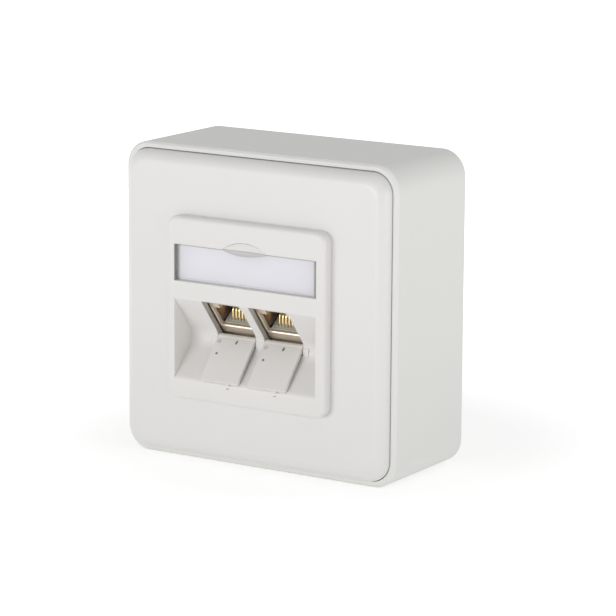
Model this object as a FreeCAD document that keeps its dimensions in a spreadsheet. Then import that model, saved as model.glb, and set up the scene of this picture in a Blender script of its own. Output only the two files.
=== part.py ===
import FreeCAD
import Part
import math
import os
import re
import Sketcher

os.makedirs("parts", exist_ok=True)
doc = FreeCAD.newDocument("surface_jack_box")
V = FreeCAD.Vector

# Surface mounted box with two shielded jacks behind a slanted front.
# X runs to the right, the front looks along minus Y, Z is up.
# The wall face is the plane Y = 0 and the origin is its centre.
sheet = doc.addObject("Spreadsheet::Sheet", "Dims")
DIMENSIONS = [
    # Housing fixed to the wall
    ("box_half", "43"), ("box_depth", "34.7"), ("box_corner", "10.5"), ("box_back_wall", "2"),
    ("box_wall", "2.6"), ("mouth_wall", "1.6"), ("mouth_depth", "3.9"), ("rim_round", "0.6"),
    ("boss_inset", "5.5"), ("boss_radius", "3.9"), ("boss_bore", "1.45"), ("boss_bore_deep", "14"),
    ("rib_half", "0.8"), ("rib_drop", "3.2"),
    ("slot_inset", "13"), ("slot_half", "2.2"), ("slot_length", "9"), ("slot_pad", "1.2"),
    ("slot_seat_half", "4.5"), ("slot_seat_tall", "14"),
    ("entry_z", "-15"), ("entry_half", "13"), ("entry_tall", "12"), ("entry_round", "5.9"),
    ("knockout_half", "8"), ("knockout_y", "3"), ("knockout_tall", "12"), ("knockout_groove", "1"),
    ("knockout_skin", "0.9"),
    # Cover frame in the mouth of the housing
    ("seam_gap", "0.2"), ("frame_proud", "3.6"), ("frame_wall", "1.8"), ("frame_panel", "2.2"),
    ("frame_round", "3.3"), ("collar_wall", "1.5"), ("collar_deep", "4.7"),
    # Centre plate, a flange of 50 mm with a skirt that enters the frame
    ("plate_half", "25"), ("plate_proud", "3.5"), ("plate_corner", "3.2"), ("plate_round", "1.1"),
    ("plate_panel", "2"), ("flange_lip", "1.1"), ("skirt_wall", "1.3"), ("skirt_deep", "5.3"),
    ("skirt_gap", "0.2"),
    # Slanted recess for the jacks
    ("jaw_z", "2.5"), ("slope_angle", "39.5"), ("slope_wall", "1.6"), ("jaw_inset", "1.5"),
    ("lip_inset", "5.8"), ("floor_angle", "43.6"), ("floor_wall", "1.6"), ("valley_round", "4.6"),
    ("lip_round", "2"), ("jaw_round", "0.8"),
    ("jack_x", "7.5"), ("window_half", "6.2"), ("window_inset", "0.07"), ("window_clear", "1.2"),
    # Dust flaps and their hinge
    ("hinge_inset", "0.67"), ("hinge_out", "0.45"), ("pin_radius", "0.6"), ("pin_gap", "0.05"),
    ("pin_bite", "0.7"), ("pin_wall", "0.5"),
    ("lug_reach", "1.1"), ("lug_rise", "0.4"), ("lug_drop", "2.6"), ("lug_chin", "0.9"),
    ("lug_foot", "1.2"), ("side_lug", "1.7"), ("flap_half", "6"),
    ("flap_length", "13.6"), ("flap_under", "0.45"), ("flap_thick", "0.9"), ("flap_corner", "0.5"),
    ("barrel_radius", "1.35"), ("barrel_gap", "0.3"), ("flap_rest", "40"),
    ("tab_left", "1.9"), ("tab_wide", "1.3"), ("tab_long", "0.5"),
    # Label behind its clear window
    ("label_inset", "1.4"), ("label_low", "7.4"), ("label_high", "17.4"), ("label_depth", "2.2"),
    ("label_floor", "1.6"), ("label_border", "1.4"), ("label_gap", "0.2"), ("paper_thick", "0.25"),
    ("glass_sunk", "0.15"), ("glass_thick", "1.1"), ("rail_tall", "0.6"), ("notch_radius", "11.8"),
    ("notch_rise", "2.3"), ("notch_depth", "1.2"), ("thumb_radius", "26.5"), ("thumb_dip", "0.9"),
    # Screws of the plate and of the carrier
    ("head_inset", "0.4"), ("post_z", "12.4"), ("post_half", "2.7"), ("post_bore", "1.3"),
    ("boss_half", "3.1"), ("boss_deep", "4.2"), ("head_radius", "2.7"),
    ("head_sunk", "1.9"), ("plate_shank", "1.25"), ("shank_gap", "0.3"), ("plate_screw_length", "9"),
    ("carrier_head", "3.2"), ("carrier_head_tall", "2.1"), ("carrier_shank", "1.4"),
    ("carrier_screw_length", "12"), ("drive_depth", "1"), ("drive_half", "0.4"),
    # Carrier ring and the sloped cage for the jacks
    ("ring_gap", "4.9"), ("ring_deep", "13"), ("ring_thick", "1.6"), ("ring_chamfer", "8"),
    ("ring_hole", "1.9"), ("ring_window_inset", "10.5"), ("ring_window_z", "22"),
    ("ring_window_half", "5"), ("ring_window_tall", "6"),
    ("cage_wall", "1.45"), ("cage_inner", "14.75"), ("cage_front", "2.4"), ("cage_back", "21"),
    ("cage_top", "-2.2"), ("cage_roof", "-0.8"), ("cage_shelf", "17.6"), ("cage_mouth", "7"),
    ("web_half", "0.25"), ("roof_front", "8"),
    # Shielded jack, measured along and into the slope
    ("jack_half", "7.1"), ("jack_top", "0.8"), ("jack_low", "16.2"), ("jack_face", "2.2"),
    ("jack_back", "23.4"), ("jack_corner", "0.5"), ("face_wall", "1.3"), ("shell_wall", "0.6"),
    ("shell_lap", "0.3"), ("collar_half", "6.35"),
    ("collar_tall", "0.6"), ("collar_low", "14.8"), ("collar_top", "1.6"), ("mouth_half", "5.95"),
    ("mouth_bevel", "0.3"), ("plug_top", "4.9"), ("plug_low", "12"), ("latch_half", "3.2"),
    ("latch_top", "3.1"), ("plug_deep", "14"), ("spring_slot", "1.6"), ("spring_mid", "4.4"),
    ("insert_front", "4"), ("insert_back", "16"),
    ("comb_half", "0.325"), ("comb_pitch", "1.02"), ("comb_low", "14.2"), ("wire_half", "0.2"),
    ("wire_thick", "0.3"), ("wire_front", "4.9"), ("wire_back", "12.6"), ("wire_rise", "3.8"),
    ("wire_bend", "0.5"), ("board_front", "16.3"), ("board_thick", "1"), ("tail_run", "13.5"),
    ("idc_front", "17.7"), ("idc_back", "22.6"), ("idc_pitch", "2.9"), ("idc_blade", "0.25"),
    ("idc_wide", "1.2"), ("idc_row", "4.2"), ("idc_tip", "0.8"), ("fork_half", "0.45"),
    ("fork_deep", "2.2"), ("core_half", "2"), ("core_deep", "2.6"),
    ("cap_front", "23.6"), ("cap_back", "28.4"), ("cap_corner", "1.2"), ("cap_groove", "0.7"),
    ("cap_groove_deep", "2"),
    ("cable_radius", "3.4"), ("clamp_back", "29.8"), ("clamp_half", "5.6"), ("clamp_tall", "10.4"),
    ("clamp_corner", "1.6"), ("clamp_bite", "0.2"),
    ("spring_half", "2.5"), ("spring_thick", "0.5"), ("spring_front", "9"), ("spring_foot", "2.5"),
    ("spring_hook", "1.6"),
    ("part_gap", "0.15"),
]
for row, (word, number) in enumerate(DIMENSIONS, start=1):
    sheet.set(f"A{row}", word)
    sheet.set(f"B{row}", number)
    sheet.setAlias(f"B{row}", word)
DERIVED = [
    ("slope_cos", "=cos(slope_angle * 1deg)"), ("slope_sin", "=sin(slope_angle * 1deg)"),
    ("floor_cos", "=cos(floor_angle * 1deg)"), ("floor_sin", "=sin(floor_angle * 1deg)"),
    ("lip_z", "=-(plate_half - lip_inset)"),
    ("apex_run", "=(jaw_z - lip_z) / (slope_cos + slope_sin * floor_cos / floor_sin)"),
    ("floor_run", "=apex_run * slope_sin / floor_sin"),
    ("window_run", "=apex_run - window_inset"),
    ("hinge_run", "=apex_run - hinge_inset"),
    ("slot_z", "=box_half - slot_inset"),
    ("frame_half", "=box_half - mouth_wall - seam_gap"),
    ("frame_corner", "=box_corner - mouth_wall - seam_gap"),
    ("frame_back", "=box_depth - mouth_depth"),
    ("frame_face", "=box_depth + frame_proud"),
    ("collar_back", "=frame_face - collar_deep"),
    ("plate_face", "=frame_face + plate_proud"),
    ("skirt_half", "=plate_half - flange_lip"),
    ("skirt_back", "=frame_face - skirt_deep"),
    ("aperture_half", "=skirt_half + skirt_gap"),
    ("jaw_half", "=skirt_half - jaw_inset"),
    ("label_half", "=skirt_half - label_inset"),
    ("label_back", "=plate_face - label_depth"),
    ("label_mid", "=(label_low + label_high) / 2"),
    ("label_tall", "=(label_high - label_low) / 2"),
    ("post_x", "=label_half - head_radius - head_inset"),
    ("plate_boss_back", "=label_back - boss_deep"),
    ("ring_half", "=box_half - box_wall - ring_gap"),
    ("ring_face", "=plate_face - ring_deep"),
    ("ring_back", "=ring_face - ring_thick"),
    ("ring_window_x", "=ring_half - ring_window_inset"),
    ("boss_x", "=ring_half - boss_inset"),
    ("cage_half", "=cage_inner + cage_wall"),
    ("hinge_y", "=-plate_face + slope_sin * hinge_run - slope_cos * hinge_out"),
    ("hinge_z", "=jaw_z - slope_cos * hinge_run - slope_sin * hinge_out"),
    ("hinge_end", "=jack_x + window_half + side_lug"),
    ("shell_inner", "=jack_half - shell_wall"),
    ("jack_mid", "=(jack_top + jack_low) / 2"),
    ("fill_half", "=shell_inner - part_gap"),
    ("fill_top", "=jack_top + shell_wall + shell_lap + part_gap"),
    ("fill_low", "=jack_low - shell_wall - shell_lap - part_gap"),
    ("board_back", "=board_front + board_thick"),
]
for row, (word, formula) in enumerate(DERIVED, start=len(DIMENSIONS) + 1):
    sheet.set(f"A{row}", word)
    sheet.set(f"B{row}", formula)
    sheet.setAlias(f"B{row}", word)
doc.recompute()
WORDS = {word for word, _ in DIMENSIONS + DERIVED}


def dim(text):
    """Expression on the sheet for a formula written with the plain dimension words."""
    return re.sub(r"[a-z_]+", lambda m: f"Dims.{m.group()}" if m.group() in WORDS else m.group(), str(text))


def size(text):
    """Present value of such a formula."""
    return float(sheet.evalExpression(dim(text)))


def new_body(label):
    body = doc.addObject("PartDesign::Body", label)
    body.Label = label
    body.AllowCompound = True
    return body


def sketch_on(body, role, offset="0"):
    """Empty sketch on an origin plane of the body, moved along its normal."""
    plane = next(item for item in body.Origin.OriginFeatures if item.Role == role)
    sketch = body.newObject("Sketcher::SketchObject", f"{body.Name}_sketch")
    sketch.AttachmentSupport = [(plane, "")]
    sketch.MapMode = "FlatFace"
    sketch.setExpression("AttachmentOffset.Base.z", dim(offset))
    return sketch


def outline(sketch, points):
    """Closed outline whose corners are bound to the sheet one by one."""
    corners = [V(size(x), size(y), 0) for x, y in points]
    count = len(corners)
    first = sketch.GeometryCount
    for i in range(count):
        sketch.addGeometry(Part.LineSegment(corners[i], corners[(i + 1) % count]), False)
    for i in range(count):
        follower = first + (i + 1) % count
        sketch.addConstraint(Sketcher.Constraint("Coincident", first + i, 2, follower, 1))
    for i, (x, y) in enumerate(points):
        along = sketch.addConstraint(Sketcher.Constraint("DistanceX", -1, 1, first + i, 1, corners[i].x))
        sketch.setExpression(f"Constraints[{along}]", dim(x))
        across = sketch.addConstraint(Sketcher.Constraint("DistanceY", -1, 1, first + i, 1, corners[i].y))
        sketch.setExpression(f"Constraints[{across}]", dim(y))
    return sketch


def around(x, y, wide, tall):
    """Corners of a rectangle by its centre and its half width and half height."""
    left, right = f"{x} - ({wide})", f"{x} + ({wide})"
    low, high = f"{y} - ({tall})", f"{y} + ({tall})"
    return [(left, low), (right, low), (right, high), (left, high)]


def square(sketch, half):
    return outline(sketch, around("0", "0", half, half))


def rounded(sketch, half, radius):
    """Square with round corners, its arcs bound by centre and radius."""
    middle = f"({half}) - ({radius})"
    reach = size(middle)
    signs = ((1, 1), (-1, 1), (-1, -1), (1, -1))
    first = sketch.GeometryCount
    for i, (right, up) in enumerate(signs):
        circle = Part.Circle(V(right * reach, up * reach, 0), V(0, 0, 1), size(radius))
        sketch.addGeometry(Part.ArcOfCircle(circle, math.radians(90 * i), math.radians(90 * i + 90)), False)
    for i in range(4):
        start = sketch.Geometry[first + i].EndPoint
        end = sketch.Geometry[first + (i + 1) % 4].StartPoint
        sketch.addGeometry(Part.LineSegment(start, end), False)
    for i, (right, up) in enumerate(signs):
        side = first + 4 + i
        follower = first + (i + 1) % 4
        sketch.addConstraint(Sketcher.Constraint("Tangent", first + i, 2, side, 1))
        sketch.addConstraint(Sketcher.Constraint("Tangent", side, 2, follower, 1))
        along = sketch.addConstraint(Sketcher.Constraint("DistanceX", -1, 1, first + i, 3, right * reach))
        sketch.setExpression(f"Constraints[{along}]", dim(f"{right} * ({middle})"))
        across = sketch.addConstraint(Sketcher.Constraint("DistanceY", -1, 1, first + i, 3, up * reach))
        sketch.setExpression(f"Constraints[{across}]", dim(f"{up} * ({middle})"))
        bend = sketch.addConstraint(Sketcher.Constraint("Radius", first + i, size(radius)))
        sketch.setExpression(f"Constraints[{bend}]", dim(radius))
    return sketch


def disc(sketch, x, y, radius):
    """Circle bound by its centre and radius."""
    circle = Part.Circle(V(size(x), size(y), 0), V(0, 0, 1), size(radius))
    index = sketch.addGeometry(circle, False)
    along = sketch.addConstraint(Sketcher.Constraint("DistanceX", -1, 1, index, 3, size(x)))
    sketch.setExpression(f"Constraints[{along}]", dim(x))
    across = sketch.addConstraint(Sketcher.Constraint("DistanceY", -1, 1, index, 3, size(y)))
    sketch.setExpression(f"Constraints[{across}]", dim(y))
    wide = sketch.addConstraint(Sketcher.Constraint("Radius", index, size(radius)))
    sketch.setExpression(f"Constraints[{wide}]", dim(radius))
    return sketch


def bow(sketch, level, rise, radius):
    """Arc over its level chord, drawn about the upright axis; a negative rise dips below."""
    up = 1 if size(rise) > 0 else -1
    tall = abs(size(rise))
    reach = (2 * size(radius) * tall - tall ** 2) ** 0.5
    top = V(0, size(level) + size(rise), 0)
    ends = [V(up * reach, size(level), 0), V(-up * reach, size(level), 0)]
    curve = sketch.addGeometry(Part.Arc(ends[0], top, ends[1]), False)
    chord = sketch.addGeometry(Part.LineSegment(ends[1], ends[0]), False)
    sketch.addConstraint(Sketcher.Constraint("Coincident", curve, 2, chord, 1))
    sketch.addConstraint(Sketcher.Constraint("Coincident", chord, 2, curve, 1))
    sketch.addConstraint(Sketcher.Constraint("Horizontal", chord))
    sketch.addConstraint(Sketcher.Constraint("PointOnObject", curve, 3, -2))
    bend = sketch.addConstraint(Sketcher.Constraint("Radius", curve, size(radius)))
    sketch.setExpression(f"Constraints[{bend}]", dim(radius))
    seat = sketch.addConstraint(Sketcher.Constraint("DistanceY", -1, 1, chord, 1, size(level)))
    sketch.setExpression(f"Constraints[{seat}]", dim(level))
    middle = f"{level} + ({rise}) - ({up}) * {radius}"
    centre = sketch.addConstraint(Sketcher.Constraint("DistanceY", -1, 1, curve, 3, size(middle)))
    sketch.setExpression(f"Constraints[{centre}]", dim(middle))
    return sketch


def extrude(body, kind, sketch, length, middle=False, back=False):
    """Pad or pocket of a sketch, checked for the change of volume that it must make."""
    before = body.Shape.Volume if body.Tip else 0.0
    feature = body.newObject(f"PartDesign::{kind}", f"{body.Name}_{kind.lower()}")
    feature.Profile = sketch
    feature.setExpression("Length", dim(length))
    feature.Midplane = middle
    feature.Reversed = back
    sketch.Visibility = False
    doc.recompute()
    grown = body.Shape.Volume - before
    wrong = grown <= 0 if kind == "Pad" else grown >= 0
    if wrong:
        raise ValueError(f"{feature.Name} changes the volume by {grown:.3f}")
    return feature


def add(body, sketch, length, middle=False, back=False):
    return extrude(body, "Pad", sketch, length, middle, back)


def cut(body, sketch, length, middle=False, back=False):
    return extrude(body, "Pocket", sketch, length, middle, back)


def block(body, kind, xs, ys, zs):
    """Box shaped pad or pocket between pairs of coordinates."""
    sketch = sketch_on(body, "XY_Plane", zs[0])
    outline(sketch, [(xs[0], ys[0]), (xs[1], ys[0]), (xs[1], ys[1]), (xs[0], ys[1])])
    return extrude(body, kind, sketch, f"({zs[1]}) - ({zs[0]})", back=kind == "Pocket")


def edges(shape, test):
    """Names of the straight and round edges that pass a test."""
    return [f"Edge{i}" for i, edge in enumerate(shape.Edges, start=1) if test(edge)]


def along(edge, axis):
    """True for a straight edge parallel to an axis."""
    if edge.Curve.TypeId != "Part::GeomLine":
        return False
    return abs(abs(edge.Curve.Direction.dot(axis)) - 1) < 1e-6


def soften(body, kind, test, amount):
    """Fillet or chamfer of the edges that pass a test."""
    base = body.Tip
    names = edges(base.Shape, test)
    if not names:
        raise ValueError(f"no edge found on {body.Name}")
    feature = body.newObject(f"PartDesign::{kind}", f"{body.Name}_{kind.lower()}")
    feature.Base = (base, names)
    feature.setExpression("Radius" if kind == "Fillet" else "Size", dim(amount))
    doc.recompute()
    if "Invalid" in feature.State:
        raise ValueError(f"{feature.Name} finds no room for {amount}")
    return feature


def repeat(body, originals, role, count, pitch):
    """Row of features along an origin axis, centred by the place of the first one."""
    axis = next(item for item in body.Origin.OriginFeatures if item.Role == role)
    row = body.newObject("PartDesign::LinearPattern", f"{body.Name}_row")
    row.Originals = originals
    row.Direction = (axis, [""])
    row.Mode = "Spacing"
    row.setExpression("Offset", dim(pitch))
    row.Occurrences = count
    body.Tip = row
    doc.recompute()
    return row


def slope(run, deep):
    """Y and Z of a point on the slope, by its run down the slope and depth into it."""
    y = f"-plate_face + slope_sin * ({run}) + slope_cos * ({deep})"
    z = f"jaw_z - slope_cos * ({run}) + slope_sin * ({deep})"
    return y, z


def ramp(run, deep):
    """Y and Z of a point on the slanted floor, by its run up from the lip and depth below it."""
    y = f"-plate_face + floor_sin * ({run}) + floor_cos * ({deep})"
    z = f"lip_z + floor_cos * ({run}) - floor_sin * ({deep})"
    return y, z


def at(edge, y, z):
    """True if the middle of an edge is at this height and depth, given as numbers."""
    middle = edge.CenterOfMass
    return math.hypot(middle.y - y, middle.z - z) < 0.02


def lean(body, x="0"):
    """Turns a part drawn upright into the slope, its Y along the depth and Z up the slope."""
    turn = FreeCAD.Rotation(V(1, 0, 0), size("slope_angle"))
    body.Placement = FreeCAD.Placement(V(size(x), -size("plate_face"), size("jaw_z")), turn)


X_AXIS = V(1, 0, 0)
Y_AXIS = V(0, 1, 0)
parts = []


def keep(body):
    parts.append(body)
    return body


# Housing with its mouth, screw bosses, wall slots and cable entries
box = new_body("back_box")
add(box, rounded(sketch_on(box, "XZ_Plane"), "box_half", "box_corner"), "box_depth")
cavity = sketch_on(box, "XZ_Plane", "box_back_wall")
rounded(cavity, "box_half - box_wall", "box_corner - box_wall")
cut(box, cavity, "box_depth", back=True)
mouth = sketch_on(box, "XZ_Plane", "frame_back")
rounded(mouth, "box_half - mouth_wall", "box_corner - mouth_wall")
cut(box, mouth, "mouth_depth", back=True)
rim = -size("box_depth")
outer_reach = size("box_half - mouth_wall / 2")


def on_outer_rim(edge):
    """True for the edges of the rim that run round the outside of the housing."""
    limits = edge.BoundBox
    flat = abs(limits.YMin - rim) < 0.01 and abs(limits.YMax - rim) < 0.01
    return flat and max(limits.XMax, limits.ZMax, -limits.XMin, -limits.ZMin) > outer_reach


soften(box, "Chamfer", on_outer_rim, "rim_round")
for side in ("-", ""):
    stem = disc(sketch_on(box, "XZ_Plane", "box_back_wall"), f"{side}boss_x", "0", "boss_radius")
    add(box, stem, "ring_back - box_back_wall")
    ends = ("boss_x + boss_radius / 2", "box_half - box_wall")
    span = ends if side == "" else tuple(f"-({end})" for end in reversed(ends))
    block(box, "Pad", span, ("-(ring_back - rib_drop)", "-box_back_wall"), ("-rib_half", "rib_half"))
    bore = disc(sketch_on(box, "XZ_Plane", "ring_back"), f"{side}boss_x", "0", "boss_bore")
    cut(box, bore, "boss_bore_deep")
for place in ("slot_z", "-slot_z"):
    seat = sketch_on(box, "XZ_Plane", "box_back_wall")
    outline(seat, around("0", place, "slot_seat_half", "slot_seat_tall / 2"))
    add(box, seat, "slot_pad")
    slot = sketch_on(box, "XZ_Plane", "box_back_wall + slot_pad")
    reach = "(slot_length / 2 - slot_half)"
    outline(slot, around("0", place, "slot_half", reach))
    cut(box, slot, "box_back_wall + slot_pad")
    for end in ("-", "+"):
        tip = sketch_on(box, "XZ_Plane", "box_back_wall + slot_pad")
        disc(tip, "0", f"{place} {end} {reach}", "slot_half")
        cut(box, tip, "box_back_wall + slot_pad")
entry = sketch_on(box, "XZ_Plane", "box_back_wall")
outline(entry, around("0", "entry_z", "entry_half", "entry_tall / 2"))
cut(box, entry, "box_back_wall")
entry_corner = size("entry_half"), size("entry_tall / 2")


def at_entry_corner(edge):
    """True for the four short edges through the back wall at the corners of the cable entry."""
    middle = edge.CenterOfMass
    off_x = abs(middle.x) - entry_corner[0]
    off_z = abs(middle.z - size("entry_z")) - entry_corner[1]
    return along(edge, Y_AXIS) and abs(off_x) < 0.01 and abs(off_z) < 0.01


soften(box, "Fillet", at_entry_corner, "entry_round")
for wall in ("-(box_half - box_wall)", "box_half - box_wall"):
    ring = sketch_on(box, "XY_Plane", wall)
    middle = "-(knockout_y + knockout_tall / 2)"
    outline(ring, around("0", middle, "knockout_half", "knockout_tall / 2"))
    land_half, land_tall = "knockout_half - knockout_groove", "knockout_tall / 2 - knockout_groove"
    outline(ring, around("0", middle, land_half, land_tall))
    cut(box, ring, "box_wall - knockout_skin", back=size(wall) > 0)
keep(box)

# Cover frame that drops into the mouth and rests on its ledge
frame = new_body("cover_frame")
slab = rounded(sketch_on(frame, "XZ_Plane", "frame_back"), "frame_half", "frame_corner")
add(frame, slab, "frame_face - frame_back")
front = -size("frame_face")
soften(frame, "Fillet", lambda e: abs(e.BoundBox.YMax - front) < 0.01, "frame_round")
hollow = sketch_on(frame, "XZ_Plane", "frame_back")
rounded(hollow, "frame_half - frame_wall", "frame_corner - frame_wall")
cut(frame, hollow, "frame_face - frame_back - frame_panel", back=True)
collar = sketch_on(frame, "XZ_Plane", "collar_back")
square(collar, "aperture_half + collar_wall")
add(frame, collar, "frame_face - frame_panel - collar_back")
aperture = square(sketch_on(frame, "XZ_Plane", "frame_face"), "aperture_half")
cut(frame, aperture, "frame_face - frame_back")
keep(frame)

# Centre plate: flange, skirt, slanted trough, hinge lugs and label pocket
plate = new_body("centre_plate")
flange = rounded(sketch_on(plate, "XZ_Plane", "frame_face"), "plate_half", "plate_corner")
add(plate, flange, "plate_face - frame_face")
plate_front = -size("plate_face")
soften(plate, "Fillet", lambda e: abs(e.BoundBox.YMax - plate_front) < 0.01, "plate_round")
relief = square(sketch_on(plate, "XZ_Plane", "frame_face"), "skirt_half - skirt_wall")
cut(plate, relief, "plate_face - frame_face - plate_panel", back=True)
skirt = sketch_on(plate, "XZ_Plane", "skirt_back")
square(skirt, "skirt_half")
square(skirt, "skirt_half - skirt_wall")
add(plate, skirt, "frame_face - skirt_back")
trough = sketch_on(plate, "YZ_Plane")
outline(trough, [
    slope("0", "slope_wall"), slope("apex_run", "slope_wall"),
    ramp("floor_run", "floor_wall"), ramp("0", "floor_wall"),
])
add(plate, trough, "2 * skirt_half", middle=True)
label_block = sketch_on(plate, "XZ_Plane", "label_back - label_floor")
outline(label_block, around("0", "label_mid", "skirt_half - skirt_wall / 2", "label_tall + label_border"))
add(plate, label_block, "label_depth + label_floor - plate_panel")
for side in ("-", ""):
    boss = sketch_on(plate, "XZ_Plane", "plate_boss_back")
    outline(boss, around(f"{side}post_x", "post_z", "boss_half", "boss_half"))
    add(plate, boss, "boss_deep - label_floor / 2")
jaw = sketch_on(plate, "YZ_Plane")
outline(jaw, [
    ("-plate_face - plate_panel", "jaw_z"), ("-plate_face", "jaw_z"), slope("apex_run", "0"),
    ("-plate_face", "lip_z"), ("-plate_face - plate_panel", "lip_z"),
])
cut(plate, jaw, "2 * jaw_half", middle=True)
for (depth, height), amount in (
    (slope("apex_run", "0"), "valley_round"),
    (("-plate_face", "lip_z"), "lip_round"),
    (("-plate_face", "jaw_z"), "jaw_round"),
):
    y, z = size(depth), size(height)
    soften(plate, "Fillet", lambda edge: along(edge, X_AXIS) and at(edge, y, z), amount)
for side in ("-", ""):
    left = f"{side}jack_x - window_half"
    window = sketch_on(plate, "YZ_Plane", left)
    outline(window, [
        slope("0", "-window_clear"), slope("0", "slope_wall + window_clear"),
        slope("window_run", "slope_wall + window_clear"), slope("window_run", "-window_clear"),
    ])
    cut(plate, window, "2 * window_half", back=True)
    nest = disc(sketch_on(plate, "YZ_Plane", left), "hinge_y", "hinge_z", "barrel_radius + barrel_gap")
    cut(plate, nest, "2 * window_half", back=True)
for low, high in (
    ("-hinge_end", "-jack_x - window_half"),
    ("-jack_x + window_half", "jack_x - window_half"),
    ("jack_x + window_half", "hinge_end"),
):
    lug = sketch_on(plate, "YZ_Plane", low)
    outline(lug, [
        slope("hinge_run - lug_foot", "0"), ("hinge_y - lug_reach", "hinge_z + lug_rise"),
        ("hinge_y - lug_reach", "hinge_z - lug_drop"),
        ("hinge_y + lug_rise", "hinge_z - lug_drop + lug_chin"),
        slope("hinge_run", "lug_rise"), slope("hinge_run - lug_foot", "lug_rise"),
    ])
    add(plate, lug, f"({high}) - ({low})")
pin_line = disc(sketch_on(plate, "YZ_Plane"), "hinge_y", "hinge_z", "pin_radius + pin_gap")
cut(plate, pin_line, "2 * (hinge_end - pin_wall)", middle=True)
pocket = sketch_on(plate, "XZ_Plane", "plate_face")
outline(pocket, around("0", "label_mid", "label_half", "label_tall"))
cut(plate, pocket, "label_depth")
notch = bow(sketch_on(plate, "XZ_Plane", "plate_face"), "label_high", "notch_rise", "notch_radius")
cut(plate, notch, "notch_depth")
for side in ("-", ""):
    sink = sketch_on(plate, "XZ_Plane", "label_back")
    disc(sink, f"{side}post_x", "post_z", "head_radius + part_gap")
    cut(plate, sink, "head_sunk + part_gap")
    hole = sketch_on(plate, "XZ_Plane", "label_back")
    disc(hole, f"{side}post_x", "post_z", "plate_shank + shank_gap")
    cut(plate, hole, "boss_deep")
keep(plate)

# Clear label window with two rails that hold the paper, and the blank paper itself
glass = new_body("label_window")
glass_x = "label_half - label_gap"
glass_tall = "(label_tall - label_gap / 2)"
pane = sketch_on(glass, "XZ_Plane", "plate_face - glass_sunk - glass_thick")
outline(pane, around("0", "label_mid", glass_x, glass_tall))
add(glass, pane, "glass_thick")
for way in ("-", "+"):
    rail = sketch_on(glass, "XZ_Plane", "label_back + paper_thick")
    outline(rail, around("0", f"label_mid {way} ({glass_tall} - rail_tall / 2)", glass_x, "rail_tall / 2"))
    add(glass, rail, "label_depth - paper_thick - glass_sunk - glass_thick")
thumb = sketch_on(glass, "XZ_Plane", "plate_face - glass_sunk")
bow(thumb, f"label_mid + {glass_tall}", "-thumb_dip", "thumb_radius")
cut(glass, thumb, "glass_thick / 2")
keep(glass)
paper = new_body("label_paper")
sheet_edge = sketch_on(paper, "XZ_Plane", "label_back")
outline(sheet_edge, around("0", "label_mid", "label_half - 1.5 * label_gap", "label_tall - label_gap"))
add(paper, sheet_edge, "paper_thick")
keep(paper)

# Carrier: ring on the box bosses, sloped cage for two jacks, posts for the plate screws
carrier = new_body("jack_carrier")
add(carrier, square(sketch_on(carrier, "XZ_Plane", "ring_back"), "ring_half"), "ring_thick")
soften(carrier, "Chamfer", lambda e: along(e, Y_AXIS), "ring_chamfer")
cage = sketch_on(carrier, "YZ_Plane")
outline(cage, [
    slope("cage_top", "cage_mouth"), slope("cage_top", "cage_back"), slope("cage_shelf", "cage_back"),
    slope("cage_shelf", "cage_front"), slope("cage_mouth / 2", "cage_front"),
])
add(carrier, cage, "2 * cage_half", middle=True)
inside = sketch_on(carrier, "YZ_Plane")
outline(inside, [
    slope("cage_roof", "0"), slope("cage_roof", "clamp_back"),
    slope("jack_low", "clamp_back"), slope("jack_low", "0"),
])
cut(carrier, inside, "2 * cage_inner", middle=True)
opening = sketch_on(carrier, "YZ_Plane")
outline(opening, [
    slope("2 * cage_top", "0"), slope("2 * cage_top", "roof_front"),
    slope("-cage_roof", "roof_front"), slope("-cage_roof", "0"),
])
cut(carrier, opening, "2 * cage_inner", middle=True)
web = sketch_on(carrier, "YZ_Plane")
outline(web, [
    slope("jack_low", "jack_face + face_wall"), slope("jack_low", "cage_back"),
    slope("cage_mouth", "cage_back"), slope("cage_mouth", "jack_face + face_wall"),
])
add(carrier, web, "2 * web_half", middle=True)
for side in ("-", ""):
    post = sketch_on(carrier, "XZ_Plane", "ring_face")
    outline(post, around(f"{side}post_x", "post_z", "post_half", "post_half"))
    add(carrier, post, "plate_boss_back - ring_face")
    thread = disc(sketch_on(carrier, "XZ_Plane", "plate_boss_back"), f"{side}post_x", "post_z", "post_bore")
    cut(carrier, thread, "plate_boss_back - ring_back")
    clear = disc(sketch_on(carrier, "XZ_Plane", "ring_face"), f"{side}boss_x", "0", "ring_hole")
    cut(carrier, clear, "ring_thick")
    for end in ("-", ""):
        window = sketch_on(carrier, "XZ_Plane", "ring_face")
        spot = f"{side}ring_window_x", f"{end}ring_window_z"
        outline(window, around(*spot, "ring_window_half", "ring_window_tall / 2"))
        cut(carrier, window, "ring_thick")
keep(carrier)


def screws(label, spots, seat, shank, length, head, tall):
    """Two equal slotted screws with their heads to the front, seated on one plane."""
    group = new_body(label)
    for x, z in spots:
        add(group, disc(sketch_on(group, "XZ_Plane", f"{seat} - {length}"), x, z, shank), length)
        add(group, disc(sketch_on(group, "XZ_Plane", seat), x, z, head), tall)
        slit = sketch_on(group, "XZ_Plane", f"{seat} + {tall}")
        outline(slit, around(x, z, f"1.2 * {head}", "drive_half"))
        cut(group, slit, "drive_depth")
    return keep(group)


screws(
    "carrier_screws", (("-boss_x", "0"), ("boss_x", "0")), "ring_face",
    "carrier_shank", "carrier_screw_length", "carrier_head", "carrier_head_tall",
)
screws(
    "plate_screws", (("-post_x", "post_z"), ("post_x", "post_z")), "(label_back - head_sunk - part_gap)",
    "plate_shank", "plate_screw_length", "head_radius", "head_sunk",
)


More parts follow.
